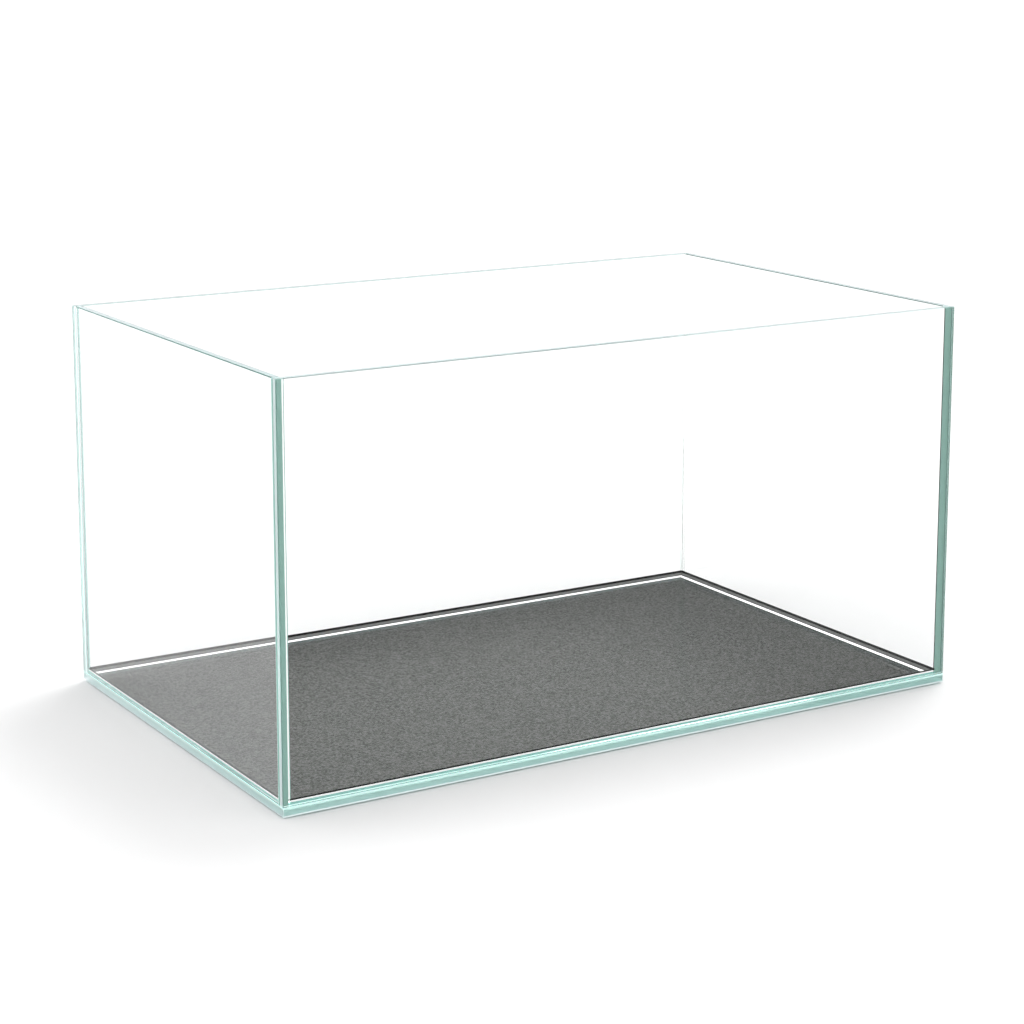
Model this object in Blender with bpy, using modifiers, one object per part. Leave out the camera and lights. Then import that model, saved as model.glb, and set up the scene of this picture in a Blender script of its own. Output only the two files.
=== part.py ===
"""A rimless glass aquarium tank: five panes of glass bonded with clear silicone, on a thin dark mat.

The frame is the tank's own: +X along its width, +Y from the front pane to the back pane, +Z up,
with the origin at the middle of the underside. All lengths are in metres.
"""

import math

import bmesh
import bpy
from mathutils import Matrix, Vector

# Driving dimensions.
TANK_WIDTH = 0.600
TANK_DEPTH = 0.372
TANK_HEIGHT = 0.313
GLASS_THICKNESS = 0.006
JOINT_THICKNESS = 0.0012
CONTACT_GAP = 0.0003
ARRIS = 0.0005

# The mat under the base, and how far its edge stands inside the base's edge.
MAT_THICKNESS = 0.001
MAT_INSET = 0.007

# The silicone: how far it stops below the rim, and the inner beads' legs and blunt toes.
SEAM_SETBACK = 0.001
BASE_BEAD_LEG = 0.0054
CORNER_BEAD_LEG = 0.0015
BEAD_TOE = 0.0003
BEAD_ARC_STEPS = 6

# Distance under which two corners of a closed curve's skin are one corner.
WELD_DISTANCE = 0.000001

# Levels and lengths that follow from them.
BASE_BOTTOM = MAT_THICKNESS + CONTACT_GAP
BASE_TOP = BASE_BOTTOM + GLASS_THICKNESS
WALL_BOTTOM = BASE_TOP + JOINT_THICKNESS
WALL_HEIGHT = TANK_HEIGHT - WALL_BOTTOM
INNER_WIDTH = TANK_WIDTH - 2 * GLASS_THICKNESS
INNER_DEPTH = TANK_DEPTH - 2 * GLASS_THICKNESS
SIDE_PANE_LENGTH = INNER_DEPTH - 2 * JOINT_THICKNESS
SEAM_THICKNESS = JOINT_THICKNESS - 2 * CONTACT_GAP

PARTS_COLLECTION = "aquarium_tank"


def clear_scene():
    """Remove every object, and leave the file itself alone."""
    for item in list(bpy.data.objects):
        bpy.data.objects.remove(item, do_unlink=True)


def make_collection(name):
    """Make a collection of the scene."""
    collection = bpy.data.collections.new(name)
    bpy.context.scene.collection.children.link(collection)
    return collection


def make_material(name, colour, roughness, transmission=0.0, ior=1.5):
    """Make a Principled material; none of the tank's materials is a metal."""
    material = bpy.data.materials.new(name)
    material.use_nodes = True
    shader = material.node_tree.nodes["Principled BSDF"]
    shader.inputs["Base Color"].default_value = (*colour, 1.0)
    shader.inputs["Roughness"].default_value = roughness
    shader.inputs["Metallic"].default_value = 0.0
    shader.inputs["Transmission Weight"].default_value = transmission
    shader.inputs["IOR"].default_value = ior
    return material


def glass_material():
    """Low-iron float glass, clear through its face and pale green-blue at its edges."""
    return make_material("low_iron_glass", (0.86, 0.96, 0.94), 0.02, transmission=1.0, ior=1.52)


def silicone_material():
    """Clear acetoxy silicone sealant, slightly milky."""
    return make_material("clear_silicone", (0.88, 0.93, 0.92), 0.25, transmission=0.7, ior=1.41)


def mat_material():
    """Dark grey closed-cell foam sheet."""
    return make_material("foam_mat", (0.045, 0.046, 0.044), 0.85)


def place(item, location, turn=0.0):
    """Set an object down at a point, turned about the vertical, on the tank's empty."""
    item.parent = tank
    item.location = location
    item.rotation_euler = (0.0, 0.0, turn)


def add_object(name, mesh, material):
    """Put a mesh in the parts collection as one named object with its own material."""
    mesh.name = name
    mesh.materials.clear()
    mesh.materials.append(material)
    item = bpy.data.objects.new(name, mesh)
    parts.objects.link(item)
    return item


def add_slab(name, size, location, material, arris=0.0):
    """Add a rectangular slab; an arris is the narrow flat ground along each of its edges."""
    shape = bmesh.new()
    bmesh.ops.create_cube(shape, size=1.0)
    bmesh.ops.scale(shape, vec=Vector(size), verts=shape.verts)
    mesh = bpy.data.meshes.new(name)
    shape.to_mesh(mesh)
    shape.free()
    slab = add_object(name, mesh, material)
    if arris > 0.0:
        bevel = slab.modifiers.new("arris", "BEVEL")
        bevel.width = arris
        bevel.segments = 1
        bevel.limit_method = "NONE"
    place(slab, location)
    return slab


def bead_outline(leg):
    """Give the section of a tooled bead: two legs on the glass and a hollow arc between their toes."""
    reach = leg + CONTACT_GAP
    radius = leg - BEAD_TOE
    outline = [(CONTACT_GAP, CONTACT_GAP), (reach, CONTACT_GAP)]
    for step in range(BEAD_ARC_STEPS + 1):
        angle = math.pi / 2 * (1.0 - step / BEAD_ARC_STEPS)
        outline.append((reach - radius * math.cos(angle), reach - radius * math.sin(angle)))
    outline.append((CONTACT_GAP, reach))
    return outline


def extrude_outline(name, outline, length):
    """Make a closed mesh from a flat outline, with its length along Z and its middle at the origin."""
    curve = bpy.data.curves.new(name, "CURVE")
    curve.dimensions = "2D"
    curve.fill_mode = "BOTH"
    curve.extrude = length / 2
    spline = curve.splines.new("POLY")
    spline.points.add(len(outline) - 1)
    for point, (x, y) in zip(spline.points, outline):
        point.co = (x, y, 0.0, 1.0)
    spline.use_cyclic_u = True
    guide = bpy.data.objects.new(name, curve)
    parts.objects.link(guide)
    bpy.context.view_layer.update()
    evaluated = guide.evaluated_get(bpy.context.evaluated_depsgraph_get())
    mesh = bpy.data.meshes.new_from_object(evaluated)
    bpy.data.objects.remove(guide, do_unlink=True)
    bpy.data.curves.remove(curve)
    shape = bmesh.new()
    shape.from_mesh(mesh)
    bmesh.ops.remove_doubles(shape, verts=shape.verts, dist=WELD_DISTANCE)
    bmesh.ops.recalc_face_normals(shape, faces=shape.faces)
    shape.to_mesh(mesh)
    shape.free()
    return mesh


def cut_mitre(shape, end, length):
    """Cut one end of a bead at 45 degrees from both of its walls, half a gap short of its neighbours."""
    setback = CONTACT_GAP / 2 * math.sqrt(2)
    corner = Vector((0.0, 0.0, end * (length / 2 - setback)))
    for across in (Vector((1.0, 0.0, 0.0)), Vector((0.0, 1.0, 0.0))):
        normal = (across + Vector((0.0, 0.0, end))).normalized()
        geometry = list(shape.verts) + list(shape.edges) + list(shape.faces)
        bmesh.ops.bisect_plane(shape, geom=geometry, plane_co=corner, plane_no=normal, clear_outer=True)
        rim = [edge for edge in shape.edges if edge.is_boundary]
        bmesh.ops.holes_fill(shape, edges=rim, sides=0)


def make_bead_mesh(name, leg, length, mitred_ends):
    """Make a bead along Z in the corner of two walls at X = 0 and Y = 0."""
    mesh = extrude_outline(name, bead_outline(leg), length)
    shape = bmesh.new()
    shape.from_mesh(mesh)
    for end in mitred_ends:
        cut_mitre(shape, end, length)
    bmesh.ops.recalc_face_normals(shape, faces=shape.faces)
    shape.to_mesh(mesh)
    shape.free()
    return mesh


def add_base(material):
    """The bottom pane, with the tank's whole footprint."""
    middle = BASE_BOTTOM + GLASS_THICKNESS / 2
    size = (TANK_WIDTH, TANK_DEPTH, GLASS_THICKNESS)
    add_slab("base_pane", size, (0.0, 0.0, middle), material, ARRIS)


def add_walls(material):
    """Front and back panes over the full width, with the two side panes held between them."""
    middle = WALL_BOTTOM + WALL_HEIGHT / 2
    across = (TANK_DEPTH - GLASS_THICKNESS) / 2
    aside = (TANK_WIDTH - GLASS_THICKNESS) / 2
    long_pane = (TANK_WIDTH, GLASS_THICKNESS, WALL_HEIGHT)
    side_pane = (GLASS_THICKNESS, SIDE_PANE_LENGTH, WALL_HEIGHT)
    add_slab("front_pane", long_pane, (0.0, -across, middle), material, ARRIS)
    add_slab("back_pane", long_pane, (0.0, across, middle), material, ARRIS)
    add_slab("left_pane", side_pane, (-aside, 0.0, middle), material, ARRIS)
    add_slab("right_pane", side_pane, (aside, 0.0, middle), material, ARRIS)


def add_corner_seams(material):
    """The structural silicone between each end of a side pane and the pane that it meets."""
    height = WALL_HEIGHT - SEAM_SETBACK
    middle = WALL_BOTTOM + height / 2
    across = (INNER_DEPTH - JOINT_THICKNESS) / 2
    aside = (TANK_WIDTH - GLASS_THICKNESS) / 2
    size = (GLASS_THICKNESS, SEAM_THICKNESS, height)
    for end, y in (("front", -across), ("back", across)):
        for side, x in (("left", -aside), ("right", aside)):
            add_slab("seam_" + end + "_" + side, size, (x, y, middle), material)


def add_base_seams(material):
    """The structural silicone between the base pane and the lower edge of each wall."""
    middle = BASE_TOP + JOINT_THICKNESS / 2
    across = (TANK_DEPTH - GLASS_THICKNESS) / 2
    aside = (TANK_WIDTH - GLASS_THICKNESS) / 2
    long_seam = (TANK_WIDTH, GLASS_THICKNESS, SEAM_THICKNESS)
    side_seam = (GLASS_THICKNESS, INNER_DEPTH - 2 * CONTACT_GAP, SEAM_THICKNESS)
    add_slab("seam_base_front", long_seam, (0.0, -across, middle), material)
    add_slab("seam_base_back", long_seam, (0.0, across, middle), material)
    add_slab("seam_base_left", side_seam, (-aside, 0.0, middle), material)
    add_slab("seam_base_right", side_seam, (aside, 0.0, middle), material)


def add_base_beads(material):
    """The tooled beads that seal the foot of each wall, mitred where they meet."""
    lay_along_x = Matrix(((0, 0, 1), (1, 0, 0), (0, 1, 0))).to_4x4()
    walls = (
        ("front", INNER_WIDTH, (0.0, -INNER_DEPTH / 2), 0),
        ("right", INNER_DEPTH, (INNER_WIDTH / 2, 0.0), 1),
        ("back", INNER_WIDTH, (0.0, INNER_DEPTH / 2), 2),
        ("left", INNER_DEPTH, (-INNER_WIDTH / 2, 0.0), 3),
    )
    for wall, length, (x, y), quarter in walls:
        name = "bead_base_" + wall
        mesh = make_bead_mesh(name, BASE_BEAD_LEG, length, (-1, 1))
        mesh.transform(lay_along_x)
        bead = add_object(name, mesh, material)
        place(bead, (x, y, BASE_TOP), quarter * math.pi / 2)


def add_corner_beads(material):
    """The slimmer tooled beads up each inner corner, mitred only at the foot."""
    length = TANK_HEIGHT - SEAM_SETBACK - BASE_TOP
    middle = BASE_TOP + length / 2
    corners = (
        ("front_left", -1, -1, 0),
        ("front_right", 1, -1, 1),
        ("back_right", 1, 1, 2),
        ("back_left", -1, 1, 3),
    )
    for corner, x_side, y_side, quarter in corners:
        name = "bead_corner_" + corner
        mesh = make_bead_mesh(name, CORNER_BEAD_LEG, length, (-1,))
        bead = add_object(name, mesh, material)
        place(bead, (x_side * INNER_WIDTH / 2, y_side * INNER_DEPTH / 2, middle), quarter * math.pi / 2)


def add_mat(material):
    """The foam mat that the base pane lies on."""
    size = (TANK_WIDTH - 2 * MAT_INSET, TANK_DEPTH - 2 * MAT_INSET, MAT_THICKNESS)
    add_slab("base_mat", size, (0.0, 0.0, MAT_THICKNESS / 2), material)


clear_scene()
parts = make_collection(PARTS_COLLECTION)
tank = bpy.data.objects.new("tank_frame", None)
parts.objects.link(tank)

glass = glass_material()
silicone = silicone_material()

add_mat(mat_material())
add_base(glass)
add_walls(glass)
add_base_seams(silicone)
add_corner_seams(silicone)
add_base_beads(silicone)
add_corner_beads(silicone)
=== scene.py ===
# %% [markdown]
# # A rimless glass aquarium tank
#
# The tank is five panes of clear glass, glued edge to face with clear silicone, on a thin dark mat.
# Nothing on a real one is painted: what the eye sees is light that goes into the glass, runs along
# inside it and comes out at an edge. So this lesson spends its effort on true thickness, true joints
# and the way each edge is worked, and keeps the big faces as clear as they are on the real tank.
# Much of the light and shade at the edges and joints is still painted on here: the tones and glow of
# the ground edges and the stripes and glow of the silicone are painted light and painted shade.

# %% Load the frame that every piece is built around
import math

import bmesh
import bpy
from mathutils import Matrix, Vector


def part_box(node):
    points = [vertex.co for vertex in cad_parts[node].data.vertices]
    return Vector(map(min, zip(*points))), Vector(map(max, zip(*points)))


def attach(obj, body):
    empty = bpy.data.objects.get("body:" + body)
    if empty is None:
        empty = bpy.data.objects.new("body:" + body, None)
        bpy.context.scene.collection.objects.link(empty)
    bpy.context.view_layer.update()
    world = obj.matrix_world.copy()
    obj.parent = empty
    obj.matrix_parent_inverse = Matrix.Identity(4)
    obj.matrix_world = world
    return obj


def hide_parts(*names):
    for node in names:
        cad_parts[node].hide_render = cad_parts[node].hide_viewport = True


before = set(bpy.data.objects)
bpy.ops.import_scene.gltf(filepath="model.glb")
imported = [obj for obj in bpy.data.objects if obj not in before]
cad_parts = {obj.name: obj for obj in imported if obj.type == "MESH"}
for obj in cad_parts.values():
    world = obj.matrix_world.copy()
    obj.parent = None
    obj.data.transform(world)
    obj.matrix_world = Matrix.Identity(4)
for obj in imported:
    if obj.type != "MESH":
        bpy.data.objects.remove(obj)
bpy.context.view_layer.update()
print("CAD nodes:", len(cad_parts))

# %% [markdown]
# The frame holds each pane as a plain slab. Its box gives the levels that the fine pieces are made to:
# the faces inside the tank and the top of the base pane. Reading them from the frame keeps the looks
# and the solids in step if the design changes.

# %% Read the tank's levels and inner faces from the frame
MM = 0.001

base_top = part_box("base_pane")[1].z
inner_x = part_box("right_pane")[0].x
inner_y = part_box("back_pane")[0].y
print("inside %.1f x %.1f mm, base top at %.1f mm" % (2 * inner_x / MM, 2 * inner_y / MM, base_top / MM))

# %% [markdown]
# Colours are written as the hex numbers that a paint program shows. The renderer works with linear
# light, so one function turns the first into the second.

# %% Turn a hex colour into linear light
def linear(hex_colour):
    """Give the linear red, green, blue and alpha of an sRGB hex colour such as "#a4d3cb"."""
    levels = [int(hex_colour[i:i + 2], 16) / 255 for i in (1, 3, 5)]
    light = [v / 12.92 if v <= 0.04045 else ((v + 0.055) / 1.055) ** 2.4 for v in levels]
    return (*light, 1.0)


print("mid grey:", [round(v, 3) for v in linear("#808080")])

# %% [markdown]
# A material is a small network of nodes. One helper starts it and one adds a node with its settings
# and its links, so each recipe below reads as a list of what the surface has. Colour ramps need their
# stops set one by one, so the third helper takes them as a short table.

# %% Start a material and add nodes to it
def new_material(name):
    """Start a node material with an empty network; give the material and its network."""
    material = bpy.data.materials.new(name)
    material.use_nodes = True
    tree = material.node_tree
    tree.nodes.clear()
    return material, tree


def add_node(tree, kind, values=None, links=None, **settings):
    """Add a node. values fill its sockets by name, links join them to other nodes' outputs."""
    node = tree.nodes.new(kind)
    for name, value in settings.items():
        setattr(node, name, value)
    for name, value in (values or {}).items():
        node.inputs[name].default_value = value
    for name, (source, output) in (links or {}).items():
        tree.links.new(source.outputs[output], node.inputs[name])
    return node


def add_ramp(tree, stops, links, interpolation):
    """Add a colour ramp whose stops are pairs of position and hex colour."""
    node = add_node(tree, "ShaderNodeValToRGB", None, links)
    ramp = node.color_ramp
    ramp.interpolation = interpolation
    ramp.elements[0].position = stops[0][0]
    ramp.elements[0].color = linear(stops[0][1])
    ramp.elements[1].position = stops[-1][0]
    ramp.elements[1].color = linear(stops[-1][1])
    for position, colour in stops[1:-1]:
        ramp.elements.new(position).color = linear(colour)
    return node


# %% [markdown]
# ## Low-iron float glass
# Float glass is poured on molten tin, so its two faces are flat and fire-polished, with no grain at
# all. The iron left in it takes a little red out of the light. Through 6 mm that can't be seen, but
# light that has run the length of a pane inside it comes out of the edge blue-green.
# A tint on the faces would colour the whole tank. Absorption in the volume colours by distance, as
# the real glass does, so the faces stay clear and only the edges turn green.
#
# The sawn edges are ground on a fine belt. They scatter the light, and how green they look depends on
# the run of glass behind them. So each worked face carries a number, the edge tone, which picks a
# painted tint and glow: 0 is polished or wetted clear by silicone, then come a nearly white ground edge,
# the common pale cyan, the deep green of a long run of glass, and the nearly black green of the finest
# lines along the arrises. The green is the glass's own, but how light or dark each edge looks, from the
# white edges to the near-black lines, is painted light and painted shade. The tone sets the tint, the
# glow and the roughness of the face.
#
# A pane works as a light guide: light that enters the big faces is trapped and leaves by the edges,
# which then look bright. Following such paths takes far more samples than these renders have, so the
# lighter ground faces have a glow of their own instead. The dark ones need none. In a dark room the
# edges will therefore seem to shine a little, which real glass doesn't do.
#
# Soda-lime glass has an index of refraction of 1.52. The tank stands in an even white room, where a
# mirror image of white on white isn't seen, so the face-on glint is turned down to a tenth.

# %% Set the glass by its index, its absorption and its edge tones
GLASS_IOR = 1.52
FACE_GLINT = (0.1, 0.1, 0.1, 1.0)
ABSORB_COLOUR = (0.10, 0.62, 0.52, 1.0)
ABSORB_DENSITY = 1.2
GROUND_ROUGHNESS = 0.35
FACE_HAZE = 0.004
HAZE_PATCH = 110 * MM

WET = 0.0
LIGHT = 0.2
PALE = 0.33
MID = 0.45
DARK = 0.75
DEEP = 0.88
LINE = 1.0
GROUND_FROM = 0.05
# Painted tints: the glass's own green, with painted light on the white edges and painted shade on the dark
# lines.
EDGE_PAINTED_TINTS = ((WET, "#ffffff"), (LIGHT, "#fbfffe"), (MID, "#eaf9f6"), (DARK, "#9dbcb5"), (DEEP, "#7f9f99"),
              (LINE, "#3f5f59"))
# Painted glow: painted light on the lighter ground edges, which are no lamps.
EDGE_PAINTED_GLOW = ((WET, "#000000"), (LIGHT, "#aea6ad"), (MID, "#1c3a37"), (DARK, "#000000"), (LINE, "#000000"))

pane_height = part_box("front_pane")[1].z - base_top
red_left = math.exp(-(1 - ABSORB_COLOUR[0]) * ABSORB_DENSITY * pane_height)
print("red left after %.0f mm of glass: %.2f" % (pane_height / MM, red_left))

# %% Mix the float glass
def low_iron_glass():
    """Clear glass with fire-polished faces and ground edges."""
    material, tree = new_material("low_iron_float_glass_ground_edges_painted_light")
    place = add_node(tree, "ShaderNodeTexCoord")
    tone = add_node(tree, "ShaderNodeAttribute", attribute_name="painted_edge_tone")
    ground = add_node(tree, "ShaderNodeMath", {1: GROUND_FROM}, {0: (tone, "Fac")}, operation="GREATER_THAN")
    # The faces are as good as mirrors; a trace of haze in wide patches keeps them from being perfect.
    haze = add_node(tree, "ShaderNodeTexNoise", {"Scale": 1 / HAZE_PATCH, "Detail": 3.0},
                    {"Vector": (place, "Object")})
    polish = add_node(tree, "ShaderNodeMapRange", {"To Min": 0.0, "To Max": FACE_HAZE},
                      {"Value": (haze, "Fac")})
    rough = add_node(tree, "ShaderNodeMix", {"B": GROUND_ROUGHNESS},
                     {"Factor": (ground, "Value"), "A": (polish, "Result")}, data_type="FLOAT")
    # The tint and the glow are painted: painted light on the pale edges, painted shade on the dark lines.
    tint = add_ramp(tree, EDGE_PAINTED_TINTS, {"Fac": (tone, "Fac")}, "LINEAR")
    glow = add_ramp(tree, EDGE_PAINTED_GLOW, {"Fac": (tone, "Fac")}, "LINEAR")
    shader = add_node(tree, "ShaderNodeBsdfPrincipled",
                      {"IOR": GLASS_IOR, "Transmission Weight": 1.0, "Specular Tint": FACE_GLINT,
                       "Emission Strength": 1.0},
                      {"Roughness": (rough, "Result"), "Base Color": (tint, "Color"),
                       "Emission Color": (glow, "Color")})
    # Seen face on the pane vanishes; seen along its length it is a soft blue-green.
    absorb = add_node(tree, "ShaderNodeVolumeAbsorption", {"Color": ABSORB_COLOUR, "Density": ABSORB_DENSITY})
    add_node(tree, "ShaderNodeOutputMaterial", None,
             {"Surface": (shader, "BSDF"), "Volume": (absorb, "Volume")})
    return material


float_glass = low_iron_glass()
print("made", float_glass.name)

# %% [markdown]
# ## Tooled silicone
# The joints are clear acetoxy silicone rubber. In a thin seam it takes on the green of the panes that
# it lies between. Drawn out with a round tool along the foot of the walls it works like a lens: its lip
# on the base gathers the white of the room, its hollow shows the dark of the mat, and where each slope
# ends there is a fine dark line. From outside, through the pane, the same bead shows its bonded side:
# pale cyan with a white line at the top.
# A lens of clear rubber between two panes would need a perfect bond and very long light paths to look
# right. Here the green of the seams and the stripes that the lens makes are painted instead: painted
# highlights, painted lines of shade and a painted reflection of the mat, with a painted glow for the
# light that the clear rubber passes on. The price is that they don't shift as the eye moves. One
# material serves every joint; a number on each face, the tone, says which stripe it belongs to.

# %% Set the stripes of the silicone
SILICONE_IOR = 1.41
RIPPLE = 7 * MM
RIPPLE_SHADE = 0.10
RIPPLE_HEIGHT = 0.3 * MM
RIPPLE_BUMP = 0.15
SILICONE_ROUGHNESS = 0.3
SILICONE_SPECULAR = 0.3

TONE_WHITE = 0.05
TONE_JOINT = 0.15
TONE_BOND = 0.25
TONE_DEEP = 0.35
TONE_HOLLOW = 0.45
TONE_LINE = 0.55
# Painted stripes: a white painted highlight, pale cyan and green painted light seen through the rubber, a
# grey painted reflection of the mat and near-black painted lines of shade.
SILICONE_PAINTED_STRIPES = ((0.0, "#ffffff"), (0.1, "#e4fbf7"), (0.2, "#c4ede5"), (0.3, "#96beb4"),
                    (0.4, "#8e908e"), (0.5, "#060606"))
# Painted glow: painted light on the white and cyan stripes, which are no lamps.
SILICONE_PAINTED_GLOW = ((0.0, "#c4c4c4"), (0.1, "#708c89"), (0.2, "#41706b"), (0.3, "#4c625b"),
                 (0.4, "#000000"), (0.5, "#000000"))
print("silicone stripes:", len(SILICONE_PAINTED_STRIPES))

# %% Mix the tooled silicone
def tooled_silicone():
    """Silicone rubber with a satin skin, in the stripes that its place in the joint gives it."""
    material, tree = new_material("acetoxy_silicone_tooled_painted_light")
    place = add_node(tree, "ShaderNodeTexCoord")
    tone = add_node(tree, "ShaderNodeAttribute", attribute_name="tone")
    # The stripes and the glow are painted light and painted shade, not the colour of the rubber.
    stripes = add_ramp(tree, SILICONE_PAINTED_STRIPES, {"Fac": (tone, "Fac")}, "CONSTANT")
    glow = add_ramp(tree, SILICONE_PAINTED_GLOW, {"Fac": (tone, "Fac")}, "CONSTANT")
    # The tool leaves slow waves along the bead: a faint change of shade and height every few millimetres.
    ripple = add_node(tree, "ShaderNodeTexNoise", {"Scale": 1 / RIPPLE, "Detail": 2.0},
                      {"Vector": (place, "Object")})
    shade = add_node(tree, "ShaderNodeMix", {"Factor": RIPPLE_SHADE},
                     {"A": (stripes, "Color"), "B": (ripple, "Fac")}, data_type="RGBA", blend_type="MULTIPLY")
    bump = add_node(tree, "ShaderNodeBump", {"Strength": RIPPLE_BUMP, "Distance": RIPPLE_HEIGHT},
                    {"Height": (ripple, "Fac")})
    shader = add_node(tree, "ShaderNodeBsdfPrincipled",
                      {"IOR": SILICONE_IOR, "Roughness": SILICONE_ROUGHNESS,
                       "Specular IOR Level": SILICONE_SPECULAR, "Emission Strength": 1.0},
                      {"Base Color": (shade, "Result"), "Normal": (bump, "Normal"),
                       "Emission Color": (glow, "Color")})
    add_node(tree, "ShaderNodeOutputMaterial", None, {"Surface": (shader, "BSDF")})
    return material


silicone = tooled_silicone()
print("made", silicone.name)

# %% [markdown]
# In the back right upright corner the same rubber is simply clear, as a thin bead of it is wherever
# nothing dark or green lies behind. It gets a second, glassy recipe with only a trace of milk in it.

# %% Mix the clear silicone
MILK = ((0.3, "#f8fffd"), (0.7, "#ffffff"))


def clear_silicone():
    """Silicone in so thin a bead that it shows no colour."""
    material, tree = new_material("acetoxy_silicone_clear")
    place = add_node(tree, "ShaderNodeTexCoord")
    ripple = add_node(tree, "ShaderNodeTexNoise", {"Scale": 1 / RIPPLE, "Detail": 2.0},
                      {"Vector": (place, "Object")})
    milk = add_ramp(tree, MILK, {"Fac": (ripple, "Fac")}, "LINEAR")
    shader = add_node(tree, "ShaderNodeBsdfPrincipled",
                      {"IOR": SILICONE_IOR, "Transmission Weight": 1.0, "Roughness": 0.0,
                       "Specular Tint": FACE_GLINT},
                      {"Base Color": (milk, "Color")})
    add_node(tree, "ShaderNodeOutputMaterial", None, {"Surface": (shader, "BSDF")})
    return material


thin_silicone = clear_silicone()
print("made", thin_silicone.name)

# %% [markdown]
# ## Closed-cell foam
# The mat is a millimetre of closed-cell foam that takes up grit under the base. It is matt and grey,
# with a pepper of cut cells. Real cells are some 0.3 mm across, too fine to show from two metres
# away, so they are drawn coarser, at 1.8 mm, to keep a grain that the eye can see.
# A narrow rim of the sheet is painted darker, a line of painted shade along its cut edge.

# %% Mix the foam of the mat
FOAM_CELL = 1.8 * MM
FOAM_DARK = "#787977"
FOAM_PALE = "#bbbcb9"
# The rim colour is painted shade: a dark line along the cut edge.
FOAM_RIM_PAINTED_SHADE = "#101110"
PEPPER_FROM = 0.36
PEPPER_TO = 0.64
CELL_HEIGHT = 0.3 * MM
CELL_BUMP = 0.3
FOAM_ROUGHNESS = 0.9
FOAM_SPECULAR = 0.2


def foam():
    """Closed-cell foam sheet: grey, matt, with fine cells and a rim painted darker as a line of shade."""
    material, tree = new_material("closed_cell_foam_sheet")
    place = add_node(tree, "ShaderNodeTexCoord")
    cells = add_node(tree, "ShaderNodeTexNoise", {"Scale": 1 / FOAM_CELL, "Detail": 2.0, "Roughness": 0.6},
                     {"Vector": (place, "Object")})
    # Noise bunches around its middle; stretching that range brings out the pepper.
    spread = add_node(tree, "ShaderNodeMapRange", {"From Min": PEPPER_FROM, "From Max": PEPPER_TO},
                      {"Value": (cells, "Fac")})
    shade = add_ramp(tree, ((0.0, FOAM_DARK), (1.0, FOAM_PALE)), {"Fac": (spread, "Result")}, "LINEAR")
    # The rim is painted darker, a line of painted shade along the cut edge.
    painted_rim_shade = add_node(tree, "ShaderNodeAttribute", attribute_name="painted_rim_shade")
    colour = add_node(tree, "ShaderNodeMix", {"B": linear(FOAM_RIM_PAINTED_SHADE)},
                      {"Factor": (painted_rim_shade, "Fac"), "A": (shade, "Color")}, data_type="RGBA")
    bump = add_node(tree, "ShaderNodeBump", {"Strength": CELL_BUMP, "Distance": CELL_HEIGHT},
                    {"Height": (cells, "Fac")})
    shader = add_node(tree, "ShaderNodeBsdfPrincipled",
                      {"Roughness": FOAM_ROUGHNESS, "Specular IOR Level": FOAM_SPECULAR},
                      {"Base Color": (colour, "Result"), "Normal": (bump, "Normal")})
    add_node(tree, "ShaderNodeOutputMaterial", None, {"Surface": (shader, "BSDF")})
    return material


mat_foam = foam()
print("made", mat_foam.name)

# %% [markdown]
# ## Making pieces
# Every piece goes the same way: a shape is drawn as a mesh, turned into an object, its faces are
# marked with the number that its material reads, and it is tied to the tank's body, while the CAD node
# it stands for is hidden. Nothing on a tank moves, so they all ride on the one body, root.

# %% Turn a drawn shape into a finished piece
def add_piece(name, shape, material):
    """Turn a bmesh into a piece with one material."""
    mesh = bpy.data.meshes.new(name)
    shape.to_mesh(mesh)
    shape.free()
    mesh.materials.append(material)
    piece = bpy.data.objects.new(name, mesh)
    bpy.context.scene.collection.objects.link(piece)
    return piece


def mark_faces(piece, name, values):
    """Store one number on each face of a piece for its material to read."""
    mark = piece.data.attributes.new(name, "FLOAT", "FACE")
    mark.data.foreach_set("value", values)


def finish_piece(piece, node):
    """Hang a piece on the tank's one body and hide the CAD node it stands for."""
    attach(piece, "root")
    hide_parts(node)
    print(piece.name, [round(v / MM, 1) for v in piece.dimensions])


# %% [markdown]
# Panes, seams and mat all start as the box of their CAD node. From the box a slab is drawn and its
# edges are taken off: with one flat for an arris ground by hand, or with steps for a soft edge.

# %% Draw a slab from a box and take off its edges
def thin_axis(low, high):
    """Give the axis along which a box is thinnest: 0, 1 or 2."""
    return min(range(3), key=lambda axis: high[axis] - low[axis])


def draw_slab(low, high, offset, segments):
    """Draw a slab that fills a box, with its edges taken off."""
    shape = bmesh.new()
    bmesh.ops.create_cube(shape, size=1.0)
    bmesh.ops.scale(shape, vec=high - low, verts=shape.verts)
    bmesh.ops.translate(shape, vec=(low + high) / 2, verts=shape.verts)
    bmesh.ops.bevel(shape, geom=list(shape.edges), offset=offset, segments=segments, affect="EDGES")
    return shape


# %% [markdown]
# ## The panes
# A pane is cut, and then its arris, the sharp corner all round, is ground off at 45 degrees so that it
# doesn't cut the hand. Half a millimetre is the usual flat. Where a ground edge is left in the air it
# reads as three stripes: a line along each arris and the broad ground face between them. Where an edge
# is bonded the silicone wets the ground surface and it turns clear again. Three upright ends of the
# side panes are the exception. Left clear they would mirror the mat up the height of the tank, as no
# bonded edge does, so they keep the tones of a ground edge. The fourth, at the back right, is clear: a
# ground tone there would show as a bright line where the base pane mirrors it over the mat.
#
# The table gives the stripes of every edge, in the order of growing x, y or z across the thickness.
# The tones were chosen one by one, and they are painted light and painted shade on top of the glass's
# own green. Along the foot of the base pane runs a painted light line on three sides, and its right end
# is painted darker all over. The rims are painted white between two lines: nearly black on the right
# pane, deep green on the back and left panes, and pale on the front pane. The ends of the front pane
# are painted from nearly white between two lines on the left to deep green on the right.

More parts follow.
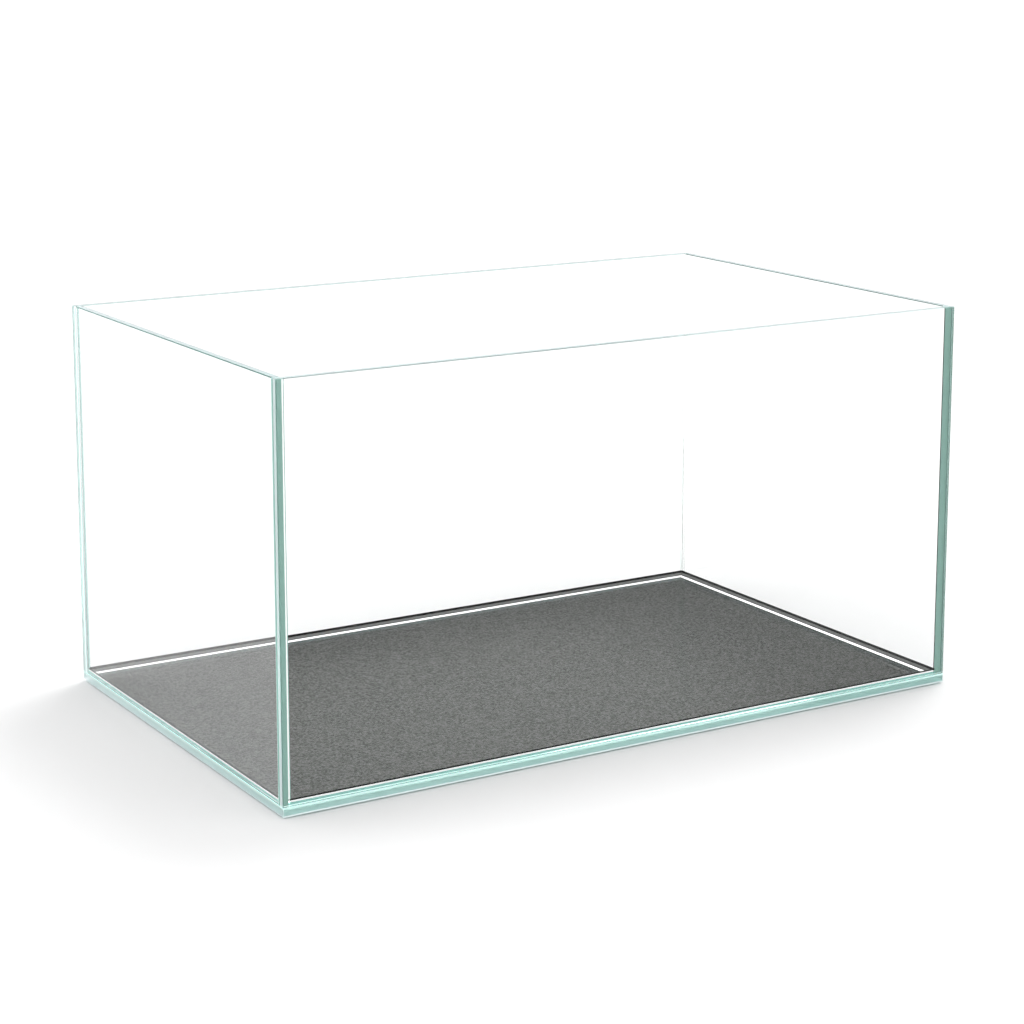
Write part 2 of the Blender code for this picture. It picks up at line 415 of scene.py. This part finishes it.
# %% Say how each edge of each pane is worked
ARRIS = 0.5 * MM
LINE_STRIP = 1.2 * MM
# Shares of a face's normal: from the first it is a big face, from the second it leans to that side.
BIG_FACE = 0.99
FACES_THAT_WAY = 0.1

LEFT, RIGHT = (0, -1), (0, 1)
FRONT, BACK = (1, -1), (1, 1)
BOTTOM, TOP = (2, -1), (2, 1)
BONDED = (WET, WET, WET)
HELD = (PALE, PALE, PALE)
# Each triple picks painted tints: painted light for the pale stripes, painted shade for the dark lines.
EDGES = {
    "base": {LEFT: (LIGHT, PALE, PALE), RIGHT: (MID, DARK, DARK), FRONT: (LIGHT, MID, MID),
             BACK: (LIGHT, MID, MID)},
    "front": {LEFT: (DARK, LIGHT, MID), RIGHT: (LINE, DARK, LINE), TOP: (MID, LIGHT, PALE), BOTTOM: BONDED},
    "back": {LEFT: (LIGHT, PALE, LINE), RIGHT: (MID, MID, MID), TOP: (DARK, LIGHT, DARK), BOTTOM: BONDED},
    "left": {FRONT: HELD, BACK: (LINE, PALE, DARK), TOP: (DARK, LIGHT, DEEP), BOTTOM: BONDED},
    "right": {FRONT: HELD, BACK: BONDED, TOP: (LINE, LIGHT, LINE), BOTTOM: BONDED},
}


def painted_edge_tone(face, thin, low, high, edges):
    """Give the tone of one face of a pane: none on its two big faces, else that of its stripe."""
    if abs(face.normal[thin]) > BIG_FACE:
        return WET
    depth = face.calc_center_median()[thin]
    stripe = 0 if depth < low[thin] + LINE_STRIP else 2 if depth > high[thin] - LINE_STRIP else 1
    facing = [axis for axis in range(3) if axis != thin and abs(face.normal[axis]) > FACES_THAT_WAY]
    return min(edges[(axis, 1 if face.normal[axis] > 0 else -1)][stripe] for axis in facing)


print("edge tables:", sorted(EDGES))

# %% Cut the panes
def cut_pane(side):
    """Cut one pane to its CAD box, take off its arrises and mark how its edges look."""
    low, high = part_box(side + "_pane")
    thin = thin_axis(low, high)
    shape = draw_slab(low, high, ARRIS, 1)
    across = Vector((0, 0, 0))
    across[thin] = 1.0
    for level in (low[thin] + LINE_STRIP, high[thin] - LINE_STRIP):
        bmesh.ops.bisect_plane(shape, geom=shape.verts[:] + shape.edges[:] + shape.faces[:],
                               plane_co=across * level, plane_no=across)
    shape.normal_update()
    tones = [painted_edge_tone(face, thin, low, high, EDGES[side]) for face in shape.faces]
    piece = add_piece(side + "_glass", shape, float_glass)
    mark_faces(piece, "painted_edge_tone", tones)
    finish_piece(piece, side + "_pane")


for side in EDGES:
    cut_pane(side)

# %% [markdown]
# ## The mat
# The sheet is 7 mm smaller than the base all round. Seen through the base pane it looks shifted by a
# few millimetres, because the glass bends the view, and at this size its far borders stay hidden under
# the lip of the silicone. Its edges are only just soft. The top face is inset once, which leaves the
# narrow ring for the rim that is painted darker as a line of shade.

# %% Lay the mat
MAT_RIM = 1.3 * MM
MAT_ROUND = 0.2 * MM

mat_low, mat_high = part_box("base_mat")
mat_shape = draw_slab(mat_low, mat_high, MAT_ROUND, 2)
top_face = max(mat_shape.faces, key=lambda face: (round(face.calc_area(), 4), face.calc_center_median().z))
ring = bmesh.ops.inset_region(mat_shape, faces=[top_face], thickness=MAT_RIM)["faces"]
painted_rim_shade = [1.0 if face in ring else 0.0 for face in mat_shape.faces]
mat = add_piece("foam_mat", mat_shape, mat_foam)
mark_faces(mat, "painted_rim_shade", painted_rim_shade)
finish_piece(mat, "base_mat")

# %% [markdown]
# ## The seams
# The panes never touch. Silicone about a millimetre thick fills the joint between every two of them,
# flush with their faces, with soft edges where it was wiped. The solids leave small gaps beside it to
# stand for the bond; here the silicone swells across its thickness and nearly closes them.
# Its tones are painted light: under the walls it is painted as a light line. In the upright joints at
# the front it is painted the deep green of the side panes that end there, at the back left only a pale
# cyan, and at the back right nothing, as it is left clear.

# %% Fill the seams
SEAM_SWELL = 0.25 * MM
SEAM_ROUND = 0.2 * MM
# Each tone picks painted light: a light line, or the green of the glass seen through the seam.
SEAM_TONES = {
    "base_front": TONE_JOINT, "base_back": TONE_JOINT, "base_left": TONE_JOINT, "base_right": TONE_JOINT,
    "front_left": TONE_DEEP, "front_right": TONE_DEEP, "back_left": TONE_JOINT, "back_right": TONE_WHITE,
}


def fill_seam(place, tone):
    """Fill a joint with silicone, swollen to within a hair of the glass, with soft edges."""
    low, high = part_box("seam_" + place)
    swell = Vector((0, 0, 0))
    swell[thin_axis(low, high)] = SEAM_SWELL
    shape = draw_slab(low - swell, high + swell, SEAM_ROUND, 2)
    material = thin_silicone if tone == TONE_WHITE else silicone
    piece = add_piece("silicone_seam_" + place, shape, material)
    mark_faces(piece, "tone", [tone] * len(piece.data.polygons))
    finish_piece(piece, "seam_" + place)


for place, tone in SEAM_TONES.items():
    fill_seam(place, tone)

# %% [markdown]
# ## The beads
# A bead is the fillet that the tool leaves in the corner. Its section has two bonded sides and a
# hollow quarter round between two blunt toes. The section is a list of points, and beside each point
# stands the stripe of the side that starts there, so the stripes follow the shape exactly.

# %% Draw the section of a bead
BEAD_CLEAR = 0.1 * MM
BEAD_TOE = 0.3 * MM
ARC_STEPS = 12


def hollow(leg, stripe_at):
    """Give the hollow's points from the foot up, and the stripe of the side after each of them."""
    reach = leg + BEAD_CLEAR
    radius = leg - BEAD_TOE
    points = []
    stripes = []
    for step in range(ARC_STEPS + 1):
        angle = math.pi / 2 * (1.0 - step / ARC_STEPS)
        points.append((reach - radius * math.cos(angle), reach - radius * math.sin(angle)))
        stripes.append(stripe_at((step + 0.5) / ARC_STEPS))
    return points, stripes


print("steps in the hollow:", ARC_STEPS)

# %% Sweep a section along a corner
def draw_bead(name, section, length, along, inward, up, middle, mitred, material, node):
    """Sweep a bead's section along a corner. Mitred ends close the corner with their neighbours."""
    points, stripes = section
    shape = bmesh.new()
    rings = []
    for end in (-1, 1):
        ring = []
        for u, v in points:
            run = length / 2 - (u if mitred else 0.0)
            ring.append(shape.verts.new(middle + along * (end * run) + inward * u + up * v))
        rings.append(ring)
    for i in range(len(points)):
        j = (i + 1) % len(points)
        shape.faces.new((rings[0][i], rings[0][j], rings[1][j], rings[1][i]))
    shape.faces.new(list(reversed(rings[0])))
    shape.faces.new(rings[1])
    bmesh.ops.recalc_face_normals(shape, faces=shape.faces)
    piece = add_piece(name, shape, material)
    mark_faces(piece, "tone", stripes + [stripes[0], stripes[0]])
    finish_piece(piece, node)


UP = Vector((0, 0, 1))
EAST = Vector((1, 0, 0))
NORTH = Vector((0, 1, 0))
print("inner walls are %.1f and %.1f mm long" % (2 * inner_x / MM, 2 * inner_y / MM))

# %% [markdown]
# The four beads along the foot have legs of 5.4 mm. Their stripes are painted. The hollow starts with a
# fine dark line of painted shade where it ends on the base, then comes the lip with its painted white
# highlight, a painted dark line, the painted grey reflection of the mat and a last painted dark line at
# the top. The bonded side that shows through the wall has its own painted dark line and painted white
# line at the top and is painted pale cyan below them.

# %% Run the beads along the foot of the walls
FOOT_LEG = 5.4 * MM
LIP_END_SHARE = 0.06
LIP_SHARE = 0.38
LINE_SHARE = 0.54
TOP_LINE_SHARE = 0.79
TOE_LINE = 1.2 * MM
TOE_LIGHT = 2.3 * MM


def foot_stripe(share):
    """Give the painted stripe (highlight, line of shade or reflection of the mat) at a share of the way up
    the hollow of a foot bead.
    """
    if LIP_END_SHARE < share < LIP_SHARE:
        return TONE_WHITE
    return TONE_LINE if share < LINE_SHARE or share > TOP_LINE_SHARE else TONE_HOLLOW


def foot_section():
    """Give the section of a bead along the foot of a wall, with its stripes."""
    reach = FOOT_LEG + BEAD_CLEAR
    points, stripes = hollow(FOOT_LEG, foot_stripe)
    wall_side = [(BEAD_CLEAR, reach), (BEAD_CLEAR, reach - TOE_LINE), (BEAD_CLEAR, reach - TOE_LIGHT)]
    return ([(BEAD_CLEAR, BEAD_CLEAR), (reach, BEAD_CLEAR)] + points + wall_side,
            [TONE_LINE, TONE_LINE] + stripes + [TONE_LINE, TONE_WHITE, TONE_BOND])


walls = (
    ("front", inner_x, EAST, NORTH, Vector((0, -inner_y, base_top))),
    ("right", inner_y, NORTH, -EAST, Vector((inner_x, 0, base_top))),
    ("back", inner_x, -EAST, -NORTH, Vector((0, inner_y, base_top))),
    ("left", inner_y, -NORTH, EAST, Vector((-inner_x, 0, base_top))),
)
for wall, half, along, inward, middle in walls:
    draw_bead("foot_bead_" + wall, foot_section(), 2 * half, along, inward, UP, middle, True, silicone,
              "bead_base_" + wall)

# %% [markdown]
# The upright corners get much less silicone, 1.5 mm, because the eye goes there first. Their tones are
# painted light: at the front left the bead is painted as a white line with a green toe, at the front
# right it carries on the painted deep green of the joint, at the back left it is painted pale, and at the
# back right it is clear. On the real tank the rubber of a corner cures as one body, so each upright bead
# starts inside the foot beads, 2 mm above the base.

# %% Run the beads up the corners
CORNER_LEG = 1.5 * MM
CORNER_LINE = 0.6 * MM
UPRIGHT_START = 2 * MM


def corner_section(body, line):
    """Give the small section of an upright bead in two tones: its body and the line at its toe."""
    reach = CORNER_LEG + BEAD_CLEAR
    # A share above 1 is the blunt toe that follows the last step of the hollow.
    points, stripes = hollow(CORNER_LEG, lambda share: line if share > 1.0 else body)
    long_side = [(BEAD_CLEAR, BEAD_CLEAR), (reach - CORNER_LINE, BEAD_CLEAR), (reach, BEAD_CLEAR)]
    end_side = [(BEAD_CLEAR, reach), (BEAD_CLEAR, reach - CORNER_LINE)]
    return long_side + points + end_side, [body, line, line] + stripes + [line, body]


upright_foot = base_top + UPRIGHT_START
upright_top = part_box("bead_corner_front_left")[1].z
upright_length = upright_top - upright_foot
upright_middle = (upright_top + upright_foot) / 2
# Body and toe tones are painted light and painted shade, not the colour of the rubber.
corners = (
    ("front_left", -1, -1, TONE_WHITE, TONE_DEEP, silicone),
    ("front_right", 1, -1, TONE_DEEP, TONE_LINE, silicone),
    ("back_left", -1, 1, TONE_JOINT, TONE_JOINT, silicone),
    ("back_right", 1, 1, TONE_WHITE, TONE_WHITE, thin_silicone),
)
for place, to_x, to_y, body, line, material in corners:
    middle = Vector((to_x * inner_x, to_y * inner_y, upright_middle))
    draw_bead("corner_bead_" + place, corner_section(body, line), upright_length, UP, -to_x * EAST,
              -to_y * NORTH, middle, False, material, "bead_corner_" + place)

# %% [markdown]
# ## The studio
# The tank stands on a plain white floor that runs on out of sight. Matt paint without any gloss keeps
# the floor one even tone, and the tank's soft shadow is all that is seen on it. A faint mottle in the
# paint, less than one part in a hundred, is there because no painted floor is perfectly even.

# %% Lay the floor
FLOOR_HALF = 30.0
FLOOR_PATCH = 0.4
FLOOR_PAINT = ((0.3, "#f4f4f4"), (0.7, "#f5f5f5"))
FLOOR_ROUGHNESS = 0.9

floor_shape = bmesh.new()
bmesh.ops.create_grid(floor_shape, x_segments=1, y_segments=1, size=FLOOR_HALF)
floor_material, floor_tree = new_material("matt_white_floor_paint")
floor_place = add_node(floor_tree, "ShaderNodeTexCoord")
mottle = add_node(floor_tree, "ShaderNodeTexNoise", {"Scale": 1 / FLOOR_PATCH},
                  {"Vector": (floor_place, "Object")})
paint = add_ramp(floor_tree, FLOOR_PAINT, {"Fac": (mottle, "Fac")}, "LINEAR")
floor_shader = add_node(floor_tree, "ShaderNodeBsdfPrincipled",
                        {"Roughness": FLOOR_ROUGHNESS, "Specular IOR Level": 0.0},
                        {"Base Color": (paint, "Color")})
add_node(floor_tree, "ShaderNodeOutputMaterial", None, {"Surface": (floor_shader, "BSDF")})
floor = add_piece("floor", floor_shape, floor_material)
print("floor", 2 * FLOOR_HALF, "m square")

# %% [markdown]
# Most of the light comes from the white walls and ceiling of the studio, so it is the world's own
# glow, set by height. One belt, from 11 to 25 degrees above the horizon, is kept dim, as if a black
# cloth hung there. The base pane lies flat and would mirror just that belt over the whole mat. Below
# it the walls are white, so the tank stands against white when it is seen from low down.

# %% Light the room
HORIZON_GLOW = 0.9
CLOTH_GLOW = 0.08
CEILING_GLOW = 1.0
ROOM_LIGHT = 1.33
WALLS_TO = 0.11
CLOTH_FROM = 0.19
CLOTH_TO = 0.42
CEILING_FROM = 0.58
ROOM_HEIGHTS = ((WALLS_TO, HORIZON_GLOW), (CLOTH_FROM, CLOTH_GLOW), (CLOTH_TO, CLOTH_GLOW),
                (CEILING_FROM, CEILING_GLOW))

world = bpy.data.worlds.new("studio")
bpy.context.scene.world = world
world.use_nodes = True
sky = world.node_tree
sky.nodes.clear()
direction = add_node(sky, "ShaderNodeTexCoord")
parts = add_node(sky, "ShaderNodeSeparateXYZ", None, {"Vector": (direction, "Generated")})
height = add_node(sky, "ShaderNodeFloatCurve", None, {"Value": (parts, "Z")})
curve = height.mapping.curves[0]
curve.points[0].location = (0.0, HORIZON_GLOW)
curve.points[1].location = (1.0, CEILING_GLOW)
for sine, level in ROOM_HEIGHTS:
    curve.points.new(sine, level)
height.mapping.update()
strength = add_node(sky, "ShaderNodeMath", {1: ROOM_LIGHT}, {0: (height, "Value")}, operation="MULTIPLY")
glow = add_node(sky, "ShaderNodeBackground", {"Color": (1, 1, 1, 1)}, {"Strength": (strength, "Value")})
add_node(sky, "ShaderNodeOutputWorld", None, {"Surface": (glow, "Background")})
belt = [round(math.degrees(math.asin(sine))) for sine in (CLOTH_FROM, CLOTH_TO)]
print("dim belt from %d to %d degrees up" % tuple(belt))

# %% [markdown]
# One large soft light stands high at the back right, like a tall window. It is wide, 24 degrees
# across, so the shadow that it throws to the front left has no edge.

# %% Hang the window light
WINDOW_FROM = Vector((0.42, 0.2, 0.88))
WINDOW_WIDTH = 24
WINDOW_LIGHT = 0.85

lamp_data = bpy.data.lights.new("window_light", "SUN")
lamp_data.energy = WINDOW_LIGHT
lamp_data.angle = math.radians(WINDOW_WIDTH)
lamp = bpy.data.objects.new("window_light", lamp_data)
bpy.context.scene.collection.objects.link(lamp)
lamp.rotation_euler = WINDOW_FROM.to_track_quat("Z", "Y").to_euler()
print("window at %.0f degrees up" % math.degrees(math.asin(WINDOW_FROM.normalized().z)))

# %% [markdown]
# The camera stands two metres away at the front left, about 30 cm above the rim, and looks through a
# long lens that keeps the panes nearly parallel. It aims a little above the tank's middle, and the
# frame is slid down to bring the tank back in, as with a view camera. That keeps the lean of the
# uprights small, though it doesn't take it away.

# %% Place the camera
CAMERA_AT = Vector((-1.0190, -1.6782, 0.6253))
CAMERA_DOWN = 10.33
CAMERA_TURN = -31.25
CAMERA_LENS = 87.4
CAMERA_SENSOR = 36.0
CAMERA_SLIDE = -0.1465

camera_data = bpy.data.cameras.new("camera")
camera_data.lens = CAMERA_LENS
camera_data.sensor_width = CAMERA_SENSOR
camera_data.shift_y = CAMERA_SLIDE
camera = bpy.data.objects.new("camera", camera_data)
bpy.context.scene.collection.objects.link(camera)
camera.location = CAMERA_AT
camera.rotation_euler = (math.radians(90 - CAMERA_DOWN), 0.0, math.radians(CAMERA_TURN))
bpy.context.scene.camera = camera
print("camera %.2f m from the tank" % CAMERA_AT.length)

# %% [markdown]
# The standard view keeps whites white. Light in a pane is turned back and forth many times before it
# finds an edge, so the paths are allowed to be long; cut short, the edges would go black.

# %% Set the view and the length of the light paths
LIGHT_BOUNCES = 128

scene = bpy.context.scene
scene.view_settings.view_transform = "Standard"
scene.cycles.max_bounces = LIGHT_BOUNCES
scene.cycles.transmission_bounces = LIGHT_BOUNCES
scene.cycles.glossy_bounces = LIGHT_BOUNCES
print("light may turn", LIGHT_BOUNCES, "times")
